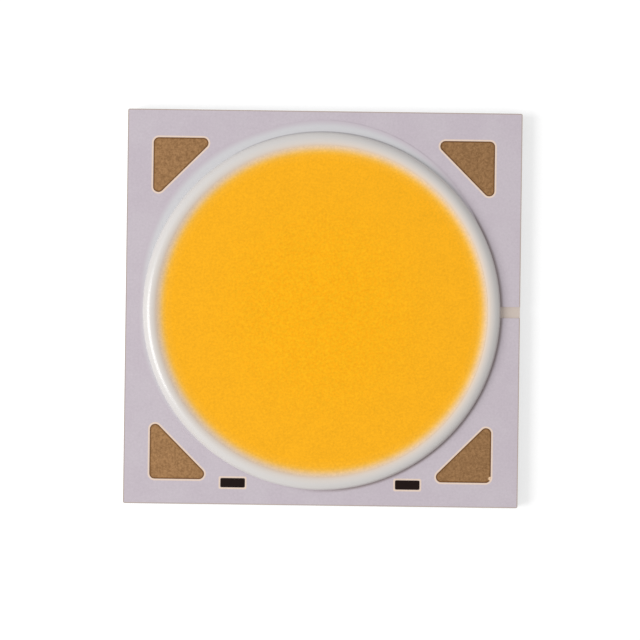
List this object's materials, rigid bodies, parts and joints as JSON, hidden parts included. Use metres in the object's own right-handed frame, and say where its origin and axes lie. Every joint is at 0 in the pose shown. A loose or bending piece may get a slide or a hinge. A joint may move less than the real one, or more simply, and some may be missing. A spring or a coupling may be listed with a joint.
{
  "type": "cob led",
  "caption": "Square aluminium-backed chip-on-board LED with a round yellow phosphor emitter, a white silicone dam and a triangular gold solder pad in each corner.",
  "frame": {"origin": "middle of the board's back face, on the surface the part lies on", "axes": "+Z out of the emitter, the way the light leaves; +Y from the cathode pads with the printed bars towards the anode pads; +X to the right, towards the slot in the mask"},
  "size_m": [0.028, 0.028, 0.0018],
  "materials": {
    "aluminium_plate": "rolled plate, satin",
    "dielectric": "cream glass-filled resin, matt",
    "copper": "etched copper foil, satin",
    "mask": "pale lilac-white solder mask, smooth and slightly glossy",
    "gold_pad": "immersion gold over rolled copper, matt and finely grained",
    "gold_land": "immersion gold, satin",
    "ink": "black printed ink, matt",
    "dam_silicone": "translucent white silicone, satin",
    "phosphor": "yellow phosphor in silicone, finely grained, satin",
    "die": "polished sapphire die",
    "gold_wire": "drawn gold wire, bright"
  },
  "bodies": {
    "root": {"aluminium_base": "aluminium_plate", "dielectric_layer": "dielectric", "anode_copper": "copper", "cathode_copper": "copper", "solder_mask": "mask", "anode_pad_left": "gold_pad", "anode_pad_right": "gold_pad", "cathode_pad_left": "gold_pad", "cathode_pad_right": "gold_pad", "anode_bond_land": "gold_land", "cathode_bond_land": "gold_land", "minus_mark_left": "ink", "minus_mark_right": "ink", "dam_ring": "dam_silicone", "phosphor_fill": "phosphor", "die_string_01": "die", "die_string_02": "die", "die_string_03": "die", "die_string_04": "die", "die_string_05": "die", "die_string_06": "die", "die_string_07": "die", "die_string_08": "die", "die_string_09": "die", "die_string_10": "die", "die_string_11": "die", "die_string_12": "die", "bond_wires_01": "gold_wire", "bond_wires_02": "gold_wire", "bond_wires_03": "gold_wire", "bond_wires_04": "gold_wire", "bond_wires_05": "gold_wire", "bond_wires_06": "gold_wire", "bond_wires_07": "gold_wire", "bond_wires_08": "gold_wire", "bond_wires_09": "gold_wire", "bond_wires_10": "gold_wire", "bond_wires_11": "gold_wire", "bond_wires_12": "gold_wire"}
  },
  "joints": []
}
